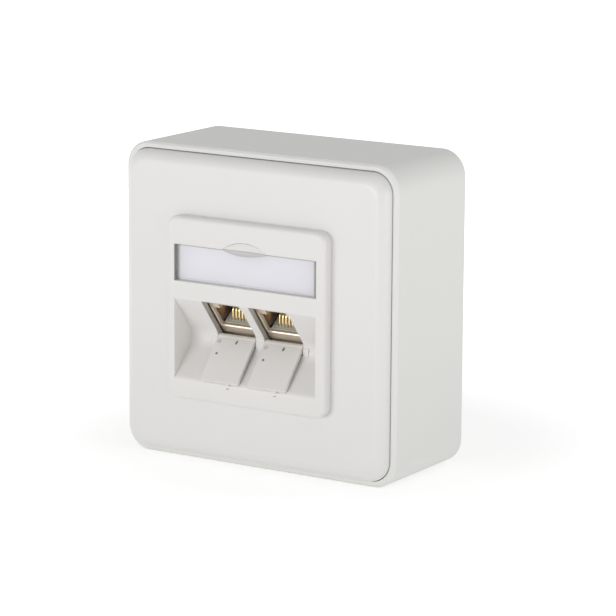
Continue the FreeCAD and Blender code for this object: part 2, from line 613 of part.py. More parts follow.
def jack(side, x):
    """One shielded jack, drawn upright with its face to the front and leaned into the slope."""
    shell = new_body(f"jack_shell_{side}")
    face = "jack_face + collar_tall"
    panel = ("jack_face", "jack_face + face_wall")
    block(shell, "Pad", ("-jack_half", "jack_half"), (face, "jack_back"), ("-jack_low", "-jack_top"))
    soften(shell, "Chamfer", lambda e: along(e, Y_AXIS), "jack_corner")
    block(shell, "Pad", ("-collar_half", "collar_half"), ("jack_face", face), ("-collar_low", "-collar_top"))
    block(shell, "Pocket", ("-shell_inner", "shell_inner"), (panel[1], "jack_back"),
          ("-jack_low + shell_wall + shell_lap", "-jack_top - shell_wall - shell_lap"))
    block(shell, "Pocket", ("-mouth_half", "mouth_half"), panel, ("-plug_low", "-plug_top"))
    rim = shell.Shape.BoundBox.YMin
    half, low, high = size("mouth_half"), -size("plug_low"), -size("plug_top")

    def on_mouth(edge):
        """True for the edges of the front face that run round the mouth."""
        box_of, middle = edge.BoundBox, edge.CenterOfMass
        flat = abs(box_of.YMin - rim) < 0.01 and abs(box_of.YMax - rim) < 0.01
        return flat and abs(middle.x) < half + 0.1 and low - 0.1 < middle.z < high + 0.1

    soften(shell, "Chamfer", on_mouth, "mouth_bevel")
    block(shell, "Pocket", ("-latch_half", "latch_half"), panel, ("-plug_top - mouth_bevel", "-latch_top"))
    for middle in ("-spring_mid", "spring_mid"):
        block(shell, "Pocket", (f"{middle} - spring_slot / 2", f"{middle} + spring_slot / 2"),
              ("spring_front", "insert_back"), ("-jack_low", "-jack_low + shell_wall"))
    lean(keep(shell), x)

    insert = new_body(f"jack_insert_{side}")
    core = ("insert_front", "insert_back")
    throat = ("insert_front", "plug_deep")
    block(insert, "Pad", ("-fill_half", "fill_half"), core, ("-fill_low", "-fill_top"))
    block(insert, "Pocket", ("-mouth_half", "mouth_half"), throat, ("-plug_low", "-plug_top"))
    block(insert, "Pocket", ("-latch_half", "latch_half"), throat, ("-plug_top - mouth_bevel", "-latch_top"))
    first = "-3.5 * comb_pitch"
    comb = block(insert, "Pocket", (f"{first} - comb_half", f"{first} + comb_half"), core,
                 ("-comb_low", "-plug_low + part_gap"))
    repeat(insert, [comb], "X_Axis", 8, "comb_pitch")
    lean(keep(insert), x)

    wires = new_body(f"jack_contacts_{side}")
    bend = sketch_on(wires, "YZ_Plane", f"{first} - wire_half")
    run = "-tail_run - wire_thick"
    outline(bend, [
        ("board_back", run), ("board_back", "-tail_run"), ("wire_front + wire_thick", "-tail_run"),
        ("wire_front + wire_thick", "-plug_low - wire_bend"),
        ("wire_back", "-plug_low + wire_rise - wire_thick"), ("wire_back", "-plug_low + wire_rise"),
        ("wire_front", "-plug_low - wire_thick"), ("wire_front - wire_bend", "-plug_low - 2 * wire_bend"),
        ("wire_front", run),
    ])
    wire = add(wires, bend, "2 * wire_half")
    repeat(wires, [wire], "X_Axis", 8, "comb_pitch")
    lean(keep(wires), x)

    board = new_body(f"jack_board_{side}")
    block(board, "Pad", ("-fill_half", "fill_half"), ("board_front", "board_back"), ("-fill_low", "-fill_top"))
    tail = block(board, "Pocket", (f"{first} - comb_half", f"{first} + comb_half"),
                 ("board_front", "board_back"), (f"{run} - part_gap", "-tail_run + part_gap"))
    repeat(board, [tail], "X_Axis", 8, "comb_pitch")
    lean(keep(board), x)

    idc = new_body(f"idc_block_{side}")
    rows = ("-jack_mid - idc_row", "-jack_mid + idc_row")
    block(idc, "Pad", ("-fill_half", "fill_half"), ("idc_front", "idc_back"), ("-fill_low", "-fill_top"))
    first_blade = "-1.5 * idc_pitch"
    blade_room = "(idc_blade + part_gap)"
    for row in rows:
        slit = block(idc, "Pocket", (f"{first_blade} - {blade_room}", f"{first_blade} + {blade_room}"),
                     ("idc_front", "idc_back"), (f"{row} - idc_wide - part_gap", f"{row} + idc_wide + part_gap"))
        repeat(idc, [slit], "X_Axis", 4, "idc_pitch")
    block(idc, "Pocket", ("-core_half", "core_half"), ("idc_back - core_deep", "idc_back"),
          ("-jack_mid - core_half", "-jack_mid + core_half"))
    lean(keep(idc), x)

    blades = new_body(f"idc_contacts_{side}")
    for row in rows:
        fork = sketch_on(blades, "YZ_Plane", f"{first_blade} - idc_blade")
        tip, root = "idc_back + idc_tip", "idc_front + fork_deep"
        outline(fork, [
            ("board_back", f"{row} - idc_wide"), (tip, f"{row} - idc_wide"), (tip, f"{row} - fork_half"),
            (root, row), (tip, f"{row} + fork_half"), (tip, f"{row} + idc_wide"),
            ("board_back", f"{row} + idc_wide"),
        ])
        blade = add(blades, fork, "2 * idc_blade")
        repeat(blades, [blade], "X_Axis", 4, "idc_pitch")
    lean(keep(blades), x)

    cap = new_body(f"wire_cap_{side}")
    block(cap, "Pad", ("-jack_half", "jack_half"), ("cap_front", "cap_back"), ("-jack_low", "-jack_top"))
    soften(cap, "Chamfer", lambda e: along(e, Y_AXIS), "cap_corner")
    bore = disc(sketch_on(cap, "XZ_Plane", "-cap_front"), "0", "-jack_mid", "cable_radius")
    cut(cap, bore, "cap_back - cap_front")
    for row in rows:
        groove = block(cap, "Pocket", (f"{first_blade} - cap_groove", f"{first_blade} + cap_groove"),
                       ("cap_front", "cap_front + cap_groove_deep"),
                       (f"{row} - 1.5 * idc_wide", f"{row} + 1.5 * idc_wide"))
        repeat(cap, [groove], "X_Axis", 4, "idc_pitch")
    lean(keep(cap), x)

    clamp = new_body(f"cable_clamp_{side}")
    block(clamp, "Pad", ("-clamp_half", "clamp_half"), ("cap_back", "clamp_back"),
          ("-jack_mid - clamp_tall / 2", "-jack_mid + clamp_tall / 2"))
    soften(clamp, "Chamfer", lambda e: along(e, Y_AXIS), "clamp_corner")
    jaws = sketch_on(clamp, "XZ_Plane", "-cap_back")
    grip = "(cable_radius - clamp_bite)"
    outline(jaws, [
        (f"-{grip}", "-jack_mid + clamp_tall"), (f"-{grip}", f"-jack_mid - {grip} / 2"),
        (f"-{grip} / 2", f"-jack_mid - {grip}"), (f"{grip} / 2", f"-jack_mid - {grip}"),
        (grip, f"-jack_mid - {grip} / 2"), (grip, "-jack_mid + clamp_tall"),
    ])
    cut(clamp, jaws, "clamp_back - cap_back")
    lean(keep(clamp), x)

    latch = new_body(f"jack_latch_{side}")
    width = ("-spring_half", "spring_half")
    leaf = ("-jack_top + spring_thick", "-jack_top + 2 * spring_thick + part_gap")
    hook = ("cage_back + 2 * part_gap", "cage_back + spring_hook + 2 * part_gap")
    block(latch, "Pad", width, ("spring_front", hook[1]), leaf)
    block(latch, "Pad", width, ("spring_front", "spring_front + spring_foot"), ("-jack_top", leaf[0]))
    block(latch, "Pad", width, hook, (leaf[1], "-cage_roof + 2 * spring_thick"))
    lean(keep(latch), x)


jack("left", "-jack_x")
jack("right", "jack_x")


def flap(label, x):
    """Dust flap hung from the hinge line, drawn straight down and laid open on the lip."""
    cover = new_body(label)
    blade = ("-(flap_under + flap_thick)", "-flap_under")
    block(cover, "Pad", ("-flap_half", "flap_half"), blade, ("-flap_length", "0"))
    tip = -size("flap_length")
    corner = lambda edge: along(edge, Y_AXIS) and abs(edge.CenterOfMass.z - tip) < 0.01
    soften(cover, "Chamfer", corner, "flap_corner")
    add(cover, disc(sketch_on(cover, "YZ_Plane"), "0", "0", "barrel_radius"), "2 * flap_half", middle=True)
    pin = disc(sketch_on(cover, "YZ_Plane"), "0", "0", "pin_radius")
    add(cover, pin, "2 * (window_half + pin_bite)", middle=True)
    block(cover, "Pad", ("tab_left", "tab_left + tab_wide"), ("-(flap_under + flap_thick / 2)", "-flap_under"),
          ("-flap_length - tab_long", "-flap_length + tab_long"))
    turn = FreeCAD.Rotation(V(1, 0, 0), -size("flap_rest"))
    cover.Placement = FreeCAD.Placement(V(size(x), size("hinge_y"), size("hinge_z")), turn)
    return keep(cover)


flap("dust_flap_left", "-jack_x")
flap("dust_flap_right", "jack_x")

# Checks, then one file for each part
doc.recompute()
for item in doc.Objects:
    if any(word in state for state in item.State for word in ("Invalid", "Error")):
        raise ValueError(f"{item.Name} is {item.State}")
for body in parts:
    if body.Shape.isNull() or not body.Shape.isValid():
        raise ValueError(f"{body.Label} has no valid shape")
    body.Shape.exportStep(f"parts/{body.Label}.step")
    box_of = body.Shape.BoundBox
    low = [round(value, 1) for value in (box_of.XMin, box_of.YMin, box_of.ZMin)]
    high = [round(value, 1) for value in (box_of.XMax, box_of.YMax, box_of.ZMax)]
    print(f"{body.Label}: {len(body.Shape.Solids)} solids, {body.Shape.Volume:.0f} mm3, {low} to {high}")
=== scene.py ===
import math

import bmesh
import bpy
import numpy as np
from mathutils import Matrix, Vector


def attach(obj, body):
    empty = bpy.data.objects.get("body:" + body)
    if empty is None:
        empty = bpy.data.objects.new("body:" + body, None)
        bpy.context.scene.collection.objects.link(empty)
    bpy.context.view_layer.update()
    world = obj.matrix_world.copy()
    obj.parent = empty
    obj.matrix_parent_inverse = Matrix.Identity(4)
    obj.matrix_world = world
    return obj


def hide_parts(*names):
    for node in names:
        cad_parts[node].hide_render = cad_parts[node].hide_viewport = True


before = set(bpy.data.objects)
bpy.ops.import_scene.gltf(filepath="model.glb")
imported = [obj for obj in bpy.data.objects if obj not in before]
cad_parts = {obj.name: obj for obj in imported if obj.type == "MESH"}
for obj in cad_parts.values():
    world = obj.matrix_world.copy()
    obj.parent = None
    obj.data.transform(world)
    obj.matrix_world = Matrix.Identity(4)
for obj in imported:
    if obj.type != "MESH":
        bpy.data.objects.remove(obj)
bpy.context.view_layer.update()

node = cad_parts
MM = 0.001

# Housing: one deep white moulding, open at the front, screwed to the wall.
# Matt fine-grained plastic from a spark-eroded mould, so its flanks look soft and even.


def add_node(material, kind, **values):
    """One shader node of the material, with its plain inputs set by name."""
    made = material.node_tree.nodes.new(kind)
    for name, value in values.items():
        socket = made.inputs.get(name.replace("_", " "))
        if socket is not None:
            socket.default_value = value
        else:
            setattr(made, name, value)
    return made


def moulded(name, colour, roughness, grain=0.12, relief=0.02, drift=0.012, edge=0.0, glint=0.0):
    """Moulded plastic: slow drift of tone, fine grain in the bump, matt clouds and softened edges.

    Colour is colour * (1 +- drift) by a slow cloud, roughness rises with the same cloud, the bump
    is a grain of the given size in millimetres, and edge is the radius that catches the light.
    Glint is a painted highlight: it lightens the colour there, by how far the softened normal leans from the
    flat one.
    """
    material = bpy.data.materials.new(name)
    material.use_nodes = True
    links = material.node_tree.links
    shader = material.node_tree.nodes["Principled BSDF"]
    place = add_node(material, "ShaderNodeTexCoord")
    cloud = add_node(material, "ShaderNodeTexNoise", Scale=38.0, Detail=3.0, Roughness=0.55)
    links.new(place.outputs["Object"], cloud.inputs["Vector"])
    tone = add_node(material, "ShaderNodeMix", data_type="RGBA")
    tone.inputs[6].default_value = (*[c * (1 - drift) for c in colour], 1)
    tone.inputs[7].default_value = (*[min(1.0, c * (1 + drift)) for c in colour], 1)
    links.new(cloud.outputs["Fac"], tone.inputs[0])
    links.new(tone.outputs[2], shader.inputs["Base Color"])
    matt = add_node(material, "ShaderNodeMapRange", To_Min=roughness - 0.04, To_Max=roughness + 0.05)
    links.new(cloud.outputs["Fac"], matt.inputs["Value"])
    links.new(matt.outputs["Result"], shader.inputs["Roughness"])
    grit = add_node(material, "ShaderNodeTexNoise", Scale=1.0 / (grain * MM), Detail=2.0)
    links.new(place.outputs["Object"], grit.inputs["Vector"])
    bump = add_node(material, "ShaderNodeBump", Strength=relief * 10, Distance=relief * MM)
    links.new(grit.outputs["Fac"], bump.inputs["Height"])
    if edge:
        soft = add_node(material, "ShaderNodeBevel", samples=6, Radius=edge * MM)
        links.new(soft.outputs["Normal"], bump.inputs["Normal"])
    if edge and glint:
        flat = add_node(material, "ShaderNodeNewGeometry")
        lean = add_node(material, "ShaderNodeVectorMath", operation="DOT_PRODUCT")
        links.new(soft.outputs["Normal"], lean.inputs[0])
        links.new(flat.outputs["Normal"], lean.inputs[1])
        glint_paint = add_node(material, "ShaderNodeMapRange", From_Min=1.0, From_Max=0.8, To_Min=0.0, To_Max=glint)
        links.new(lean.outputs["Value"], glint_paint.inputs["Value"])
        light = add_node(material, "ShaderNodeMix", data_type="RGBA")
        light.inputs[7].default_value = (1.0, 0.985, 0.96, 1)
        links.new(glint_paint.outputs["Result"], light.inputs[0])
        links.new(tone.outputs[2], light.inputs[6])
        links.new(light.outputs[2], shader.inputs["Base Color"])
    links.new(bump.outputs["Normal"], shader.inputs["Normal"])
    shader.inputs["IOR"].default_value = 1.5
    return material


def dress(name, material):
    """Gives a CAD node its finish, in place of the plain one that it comes with."""
    slots = node[name].data.materials
    slots.clear()
    slots.append(material)


BOX_HALF, BOX_CORNER, TIGHT_CORNER = 43.0, 10.5, 7.0
SHELL_CREASE, SAME_PLACE = math.radians(28), 1e-6


def with_tight_corners(name, cad_name, material):
    """Stands in for a CAD shell, with its corners drawn out to the tighter radius of the photograph.

    Round the centre of each corner a place keeps its angle and is scaled by reach(angle) over the
    old radius, where reach is the distance to a square corner with the new radius: to its straight
    sides, side / cos and side / sin, and between them to its arc, by the cosine rule.
    """
    solid = node[cad_name].data
    places = np.empty(len(solid.vertices) * 3, dtype=np.float32)
    solid.vertices.foreach_get("co", places)
    places = places.reshape(-1, 3).astype(float)
    corners = np.empty(len(solid.loops), dtype=np.int32)
    solid.loops.foreach_get("vertex_index", corners)
    away = np.abs(places[:, [0, 2]]) - (BOX_HALF - BOX_CORNER) * MM
    inset = BOX_CORNER - TIGHT_CORNER
    angle = np.arctan2(np.maximum(away[:, 1], 0), np.maximum(away[:, 0], 1e-12))
    lift = inset * (np.cos(angle) + np.sin(angle))
    to_arc = lift + np.sqrt(lift**2 + TIGHT_CORNER**2 - 2 * inset**2)
    to_side = BOX_CORNER / np.maximum(np.cos(angle), np.sin(angle))
    side_ends = math.atan2(inset, BOX_CORNER)
    on_arc = (angle > side_ends) & (angle < math.pi / 2 - side_ends)
    scale = np.where(on_arc, to_arc, to_side) / BOX_CORNER
    scale = np.where((away > 0).all(axis=1), scale, 1.0)[:, None]
    drawn = np.sign(places[:, [0, 2]]) * (away * scale + (BOX_HALF - BOX_CORNER) * MM)
    places[:, [0, 2]] = np.where(scale != 1.0, drawn, places[:, [0, 2]])
    mesh = bpy.data.meshes.new(name)
    mesh.from_pydata(places.tolist(), [], corners.reshape(-1, 3).tolist())
    shape = bmesh.new()
    shape.from_mesh(mesh)
    bmesh.ops.remove_doubles(shape, verts=shape.verts, dist=SAME_PLACE)
    shape.to_mesh(mesh)
    shape.free()
    mesh.shade_smooth()
    mesh.set_sharp_from_angle(angle=SHELL_CREASE)
    mesh.materials.append(material)
    piece = bpy.data.objects.new(name, mesh)
    bpy.context.scene.collection.objects.link(piece)
    even = piece.modifiers.new("even_normals", "WEIGHTED_NORMAL")
    even.mode = "FACE_AREA"
    even.weight = 50
    even.keep_sharp = True
    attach(piece, "housing")
    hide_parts(cad_name)


housing_white = moulded("housing_white", (0.79, 0.79, 0.762), 0.46, relief=0.03)
with_tight_corners("housing_shell", "back_box", housing_white)

# Cover frame: white moulding with a large rounded edge, dropped into the housing's mouth.
# Smoother than the housing, with a low sheen.
frame_white = moulded("frame_white", (0.80, 0.79, 0.775), 0.36, relief=0.012)
with_tight_corners("frame_shell", "cover_frame", frame_white)

# Centre plate: the same smooth plastic, with the slanted recess moulded in one piece.
# Its small edges are broken by the mould and catch the light, and a painted highlight lightens them, so they
# draw thin light lines.
plate_white = moulded("plate_white", (0.80, 0.785, 0.762), 0.34, relief=0.012, edge=0.28, glint=0.7)
dress("centre_plate", plate_white)
SLOPE = math.radians(39.5)
PLATE_FACE, JAW_Z = -41.8, 2.5


def on_slope(x, run, deep):
    """Places in millimetres by the run down the slope and the depth into it.

    y = face + sin(slope) * run + cos(slope) * deep, z = jaw - cos(slope) * run + sin(slope) * deep.
    """
    x, run, deep = np.broadcast_arrays(x, run, deep)
    y = PLATE_FACE + math.sin(SLOPE) * run + math.cos(SLOPE) * deep
    z = JAW_Z - math.cos(SLOPE) * run + math.sin(SLOPE) * deep
    return np.stack([x, y, z], axis=-1)


def tint(material, colour, *bands):
    """Colours the part of a material that lies within every band.

    A band is the coordinate it reads, a direction and the two limits along it, in millimetres for
    places. The mask is the product of a step up at each low limit and a step down at each high one.
    """
    links = material.node_tree.links
    shader = material.node_tree.nodes["Principled BSDF"]
    before = shader.inputs["Base Color"].links[0].from_socket
    place = add_node(material, "ShaderNodeTexCoord")
    mask = None
    for kind, direction, low, high in bands:
        unit = MM if kind == "Object" else 1.0
        along = add_node(material, "ShaderNodeVectorMath", operation="DOT_PRODUCT")
        along.inputs[1].default_value = direction
        links.new(place.outputs[kind], along.inputs[0])
        for limit, step in ((low, "GREATER_THAN"), (high, "LESS_THAN")):
            inside = add_node(material, "ShaderNodeMath", operation=step)
            inside.inputs[1].default_value = limit * unit
            links.new(along.outputs["Value"], inside.inputs[0])
            both = add_node(material, "ShaderNodeMath", operation="MULTIPLY")
            both.inputs[1].default_value = 1.0
            links.new(inside.outputs[0], both.inputs[0])
            if mask is not None:
                links.new(mask, both.inputs[1])
            mask = both.outputs[0]
    over = add_node(material, "ShaderNodeMix", data_type="RGBA")
    over.inputs[7].default_value = (*colour, 1)
    links.new(mask, over.inputs[0])
    links.new(before, over.inputs[6])
    links.new(over.outputs[2], shader.inputs["Base Color"])


DOWN_SLOPE = (0.0, math.sin(SLOPE), -math.cos(SLOPE))
INTO_SLOPE = (0.0, math.cos(SLOPE), math.sin(SLOPE))
RUN_ZERO = DOWN_SLOPE[1] * PLATE_FACE + DOWN_SLOPE[2] * JAW_Z
DEEP_ZERO = INTO_SLOPE[1] * PLATE_FACE + INTO_SLOPE[2] * JAW_Z
# The walls on the left of the two windows lie in shade, which is deepest behind.
WINDOW_RUN, WINDOWS_HALF = (-0.3, 15.6), 15.0
WALL_DEEP, SHADE_DEEP = 2.6, 1.5
window_walls = (
    ("Object", DOWN_SLOPE, RUN_ZERO + WINDOW_RUN[0], RUN_ZERO + WINDOW_RUN[1]),
    ("Object", (1, 0, 0), -WINDOWS_HALF, WINDOWS_HALF),
    ("Normal", (1, 0, 0), 0.9, 1.1),
)
whole_wall = ("Object", INTO_SLOPE, DEEP_ZERO, DEEP_ZERO + WALL_DEEP)
rear_of_wall = ("Object", INTO_SLOPE, DEEP_ZERO + SHADE_DEEP, DEEP_ZERO + WALL_DEEP)
tint(plate_white, (0.50, 0.485, 0.45), whole_wall, *window_walls)
tint(plate_white, (0.05, 0.045, 0.04), rear_of_wall, *window_walls)


CREASE, AT_ONE_POLE = math.radians(35), 1e-8


def skin(name, grid, material, body, capped=True):
    """Piece whose surface runs over a grid of points in millimetres, rows by columns.

    Each four neighbours make a face, the last column joins the first, and capped closes the
    first and the last row with one face each. Points that meet at a pole are merged.
    """
    rows, columns = grid.shape[:2]
    index = np.arange(rows * columns).reshape(rows, columns)
    beside = np.roll(index, -1, axis=1)
    sides = [index[:-1], beside[:-1], beside[1:], index[1:]]
    faces = np.stack(sides, axis=-1).reshape(-1, 4).tolist()
    if capped:
        faces += [index[0, ::-1].tolist(), index[-1].tolist()]
    mesh = bpy.data.meshes.new(name)
    mesh.from_pydata((grid.reshape(-1, 3) * MM).tolist(), [], faces)
    shape = bmesh.new()
    shape.from_mesh(mesh)
    bmesh.ops.remove_doubles(shape, verts=shape.verts, dist=AT_ONE_POLE)
    bmesh.ops.recalc_face_normals(shape, faces=shape.faces)
    shape.to_mesh(mesh)
    shape.free()
    mesh.shade_smooth()
    mesh.set_sharp_from_angle(angle=CREASE)
    mesh.materials.append(material)
    piece = bpy.data.objects.new(name, mesh)
    bpy.context.scene.collection.objects.link(piece)
    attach(piece, body)
    return piece


# Label: blank card under a clear moulded window that is prised out at the thumb notch.
# The window is nearly clear from the front, and its cut edges are dark and dense, painted shade along them.
# The card's left end catches the light, and its top edge lies in the shade of the rail.
card_white = moulded("card_white", (0.90, 0.893, 0.94), 0.7, grain=0.2, relief=0.02, drift=0.006)
CARD_HALF, CARD_LOW, CARD_HIGH, CARD_CORNER = 22.2, 7.6, 17.2, 0.4
CARD_FRONT, CARD_BACK = -39.82, -39.6
LIT_END, SHADED_TOP, BEYOND = 0.9, 0.48, 1.0
tint(card_white, (1.0, 1.0, 1.0), ("Object", (1, 0, 0), -CARD_HALF - BEYOND, -CARD_HALF + LIT_END))
tint(card_white, (0.50, 0.50, 0.52), ("Object", (0, 0, 1), CARD_HIGH - SHADED_TOP, CARD_HIGH + BEYOND))


def card_sheet():
    """Thin card: four quarter turns of its corner radius, joined by straight edges, front and back."""
    quarter = np.linspace(0, math.pi / 2, 5)
    turn = (quarter[None, :] + np.arange(4)[:, None] * math.pi / 2).ravel()
    right_left = np.repeat([1, -1, -1, 1], 5)
    up_down = np.repeat([1, 1, -1, -1], 5)
    middle, tall = (CARD_LOW + CARD_HIGH) / 2, (CARD_HIGH - CARD_LOW) / 2
    x = right_left * (CARD_HALF - CARD_CORNER) + CARD_CORNER * np.cos(turn)
    z = middle + up_down * (tall - CARD_CORNER) + CARD_CORNER * np.sin(turn)
    y = np.array([CARD_FRONT, CARD_BACK])[:, None]
    return np.stack([x + 0 * y, y + 0 * x, z + 0 * y], axis=-1)


card = skin("label_card", card_sheet(), card_white, "housing")
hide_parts("label_paper")


def clear_moulding(name, face_alpha, end_alpha, end_tone):
    """Clear plastic: a faint veil on the long faces, and painted shade on the two cut ends, darker and
    denser.

    The mix goes by the x part of the surface normal: 1 on the ends, 0 elsewhere.
    """
    material = bpy.data.materials.new(name)
    material.use_nodes = True
    links = material.node_tree.links
    shader = material.node_tree.nodes["Principled BSDF"]
    shader.inputs["Roughness"].default_value = 0.06
    shader.inputs["IOR"].default_value = 1.45
    place = add_node(material, "ShaderNodeTexCoord")
    parts = add_node(material, "ShaderNodeSeparateXYZ")
    links.new(place.outputs["Normal"], parts.inputs["Vector"])
    front = add_node(material, "ShaderNodeMath", operation="ABSOLUTE")
    links.new(parts.outputs["X"], front.inputs[0])
    veil = add_node(material, "ShaderNodeMapRange", To_Min=face_alpha, To_Max=end_alpha)
    links.new(front.outputs[0], veil.inputs["Value"])
    links.new(veil.outputs["Result"], shader.inputs["Alpha"])
    tone = add_node(material, "ShaderNodeMix", data_type="RGBA")
    tone.inputs[6].default_value = (0.85, 0.86, 0.90, 1)
    tone.inputs[7].default_value = (*end_tone, 1)
    links.new(front.outputs[0], tone.inputs[0])
    links.new(tone.outputs[2], shader.inputs["Base Color"])
    scratch = add_node(material, "ShaderNodeTexNoise", Scale=900.0, Detail=2.0)
    links.new(place.outputs["Object"], scratch.inputs["Vector"])
    bump = add_node(material, "ShaderNodeBump", Strength=0.04, Distance=0.01 * MM)
    links.new(scratch.outputs["Fac"], bump.inputs["Height"])
    links.new(bump.outputs["Normal"], shader.inputs["Normal"])
    return material


pane_clear = clear_moulding("pane_clear", face_alpha=0.10, end_alpha=0.72, end_tone=(0.13, 0.12, 0.115))
dress("label_window", pane_clear)
WINDOW_FRONT, WINDOW_TOP = -41.65, 17.3
SCOOP_HALF, SCOOP_SEAM = 6.95, 17.42
LOWER_DIP, UPPER_RISE = -1.25, 2.2


def scoop(top, bottom, lip_front, dish_front, back, dished_below):
    """Half of the thumb scoop: a face that falls back from its arc to the line where the halves meet.

    Across, x = half * u; between top and bottom, front = lip + (dish - lip) * sin(quarter turn),
    less towards the two ends, and a flat back closes it.
    """
    u = np.linspace(-1, 1, 41)[:, None]
    v = np.linspace(0, 1, 9)[None, :]
    x = SCOOP_HALF * u + 0 * v
    z = top(x) + (bottom(x) - top(x)) * v
    fall = np.sin(math.pi / 2 * (v if dished_below else 1 - v)) * np.sqrt(np.maximum(1 - u**2, 0))
    outer = np.stack([x, lip_front + (dish_front - lip_front) * fall, z], axis=-1)
    inner = np.stack([x, back + 0 * x, z], axis=-1)[:, ::-1]
    return np.concatenate([outer, inner], axis=1)


def bulge(rise, base):
    """Arc through the ends of the scoop at the base height, rise above it in the middle."""
    radius = (SCOOP_HALF**2 + rise**2) / (2 * abs(rise))
    return lambda x: base + math.copysign(1, rise) * (np.sqrt(radius**2 - x**2) - radius) + rise


def level_line(height):
    """Straight line across the scoop at one height."""
    return lambda x: height + 0 * x


# The lower half of the thumb scoop is coloured grey, painted shade for its hollow.
scoop_shade_grey = moulded("scoop_painted_shade", (0.60, 0.60, 0.60), 0.5, relief=0.02)
lower_half = scoop(
    level_line(WINDOW_TOP + 0.04), bulge(LOWER_DIP, WINDOW_TOP), lip_front=WINDOW_FRONT - 0.03,
    dish_front=WINDOW_FRONT + 0.42, back=WINDOW_FRONT + 0.5, dished_below=False,
)
skin("thumb_scoop", lower_half, scoop_shade_grey, "label_cover")
upper_half = scoop(
    bulge(UPPER_RISE, SCOOP_SEAM), level_line(SCOOP_SEAM), lip_front=PLATE_FACE + 0.02,
    dish_front=PLATE_FACE + 0.62, back=PLATE_FACE + 1.15, dished_below=True,
)
skin("plate_scoop", upper_half, plate_white, "housing")


BAR_TIP, TIP_SHARE = 0.05, 0.7


def end_bar(x_low, x_high, y_mid, thick):
    """Upright grey bar at one end of the window, painted shade along that end: an oval section, drawn in at
    its two ends.
    """
    angle = np.linspace(0, 2 * math.pi, 24, endpoint=False)[None, :]
    z = np.array([CARD_LOW - BAR_TIP, CARD_LOW, CARD_HIGH, CARD_HIGH + BAR_TIP])[:, None]
    swell = np.array([TIP_SHARE, 1.0, 1.0, TIP_SHARE])[:, None]
    x = (x_low + x_high) / 2 + (x_high - x_low) / 2 * np.cos(angle) * swell
    y = y_mid + thick / 2 * np.sin(angle) * swell
    return np.stack([x, y, z + 0 * angle], axis=-1)


end_shade_grey = moulded("end_shade_grey", (0.36, 0.355, 0.36), 0.3, relief=0.01)
left_bar = end_bar(x_low=-22.3, x_high=-22.14, y_mid=-40.22, thick=0.62)
right_bar = end_bar(x_low=21.72, x_high=22.28, y_mid=-41.6, thick=0.2)
skin("window_end_shade_left", left_bar, end_shade_grey, "label_cover")
skin("window_end_shade_right", right_bar, end_shade_grey, "label_cover")

# Jacks: die-cast shells with a warm nickel finish, held in the slope behind the plate.
# Inside each mouth two thin springs bear on the screen of the plug, coloured a darker, browner nickel that
# is painted shade.


def plated(name, colour, roughness, wear=0.05, edge=0.0, metallic=1.0):
    """Plated metal: cloudy tone and roughness, and a faint orange peel in the bump."""
    material = bpy.data.materials.new(name)
    material.use_nodes = True
    links = material.node_tree.links
    shader = material.node_tree.nodes["Principled BSDF"]
    shader.inputs["Metallic"].default_value = metallic
    place = add_node(material, "ShaderNodeTexCoord")
    cloud = add_node(material, "ShaderNodeTexNoise", Scale=420.0, Detail=3.0)
    links.new(place.outputs["Object"], cloud.inputs["Vector"])
    tone = add_node(material, "ShaderNodeMix", data_type="RGBA")
    tone.inputs[6].default_value = (*[c * 0.94 for c in colour], 1)
    tone.inputs[7].default_value = (*[min(1.0, c * 1.05) for c in colour], 1)
    links.new(cloud.outputs["Fac"], tone.inputs[0])
    links.new(tone.outputs[2], shader.inputs["Base Color"])
    matt = add_node(material, "ShaderNodeMapRange", To_Min=roughness - wear, To_Max=roughness + wear)
    links.new(cloud.outputs["Fac"], matt.inputs["Value"])
    links.new(matt.outputs["Result"], shader.inputs["Roughness"])
    bump = add_node(material, "ShaderNodeBump", Strength=0.15, Distance=0.02 * MM)
    links.new(cloud.outputs["Fac"], bump.inputs["Height"])
    if edge:
        soft = add_node(material, "ShaderNodeBevel", samples=6, Radius=edge * MM)
        links.new(soft.outputs["Normal"], bump.inputs["Normal"])
    links.new(bump.outputs["Normal"], shader.inputs["Normal"])
    return material


JACKS = (("left", -7.5), ("right", 7.5))
warm_nickel = plated("warm_nickel", (0.86, 0.77, 0.65), 0.36, edge=0.2, metallic=0.55)
nickel_in_shade = plated("nickel_in_shade", (0.34, 0.25, 0.21), 0.3)
MOUTH_HALF = 5.93
SPRING_FRONT, SPRING_BACK, SPRING_TOP, SPRING_LOW = 3.6, 9.5, 5.6, 11.4
SPRING_SEAT, SPRING_BOW, SPRING_THICK = 0.1, 0.4, 0.14


def shield_spring(x, inward):
    """Side spring of the screen: a thin strip along the mouth's wall, bowed into it by a half sine."""
    deep = np.linspace(SPRING_FRONT, SPRING_BACK, 15)[:, None]
    share = (deep - SPRING_FRONT) / (SPRING_BACK - SPRING_FRONT)
    face = x + inward * (SPRING_SEAT + SPRING_BOW * np.sin(math.pi * share))
    run = np.array([SPRING_TOP, SPRING_TOP, SPRING_LOW, SPRING_LOW])[None, :]
    side = np.array([0.0, SPRING_THICK, SPRING_THICK, 0.0])[None, :]
    return on_slope(face + inward * side, run, deep + 0 * run)


for side, x in JACKS:
    dress(f"jack_shell_{side}", warm_nickel)
    for end, inward in (("a", 1), ("b", -1)):
        spring = shield_spring(x - inward * MOUTH_HALF, inward)
        skin(f"screen_spring_{side}_{end}", spring, nickel_in_shade, "housing")

# Plastic inserts: blocks with the cavity for the plug, coloured a dark brown that is painted shade for the
# inside of the mouth.
# A pale comb lies under the contacts and keeps their pitch.
insert_shade_dark = moulded("insert_shade_dark", (0.085, 0.05, 0.042), 0.32, relief=0.01, drift=0.08)
comb_pale = moulded("comb_pale", (0.64, 0.62, 0.53), 0.45, relief=0.01)
PITCH, TEETH_HALF, COMB_HALF = 1.02, 4.1, 5.4


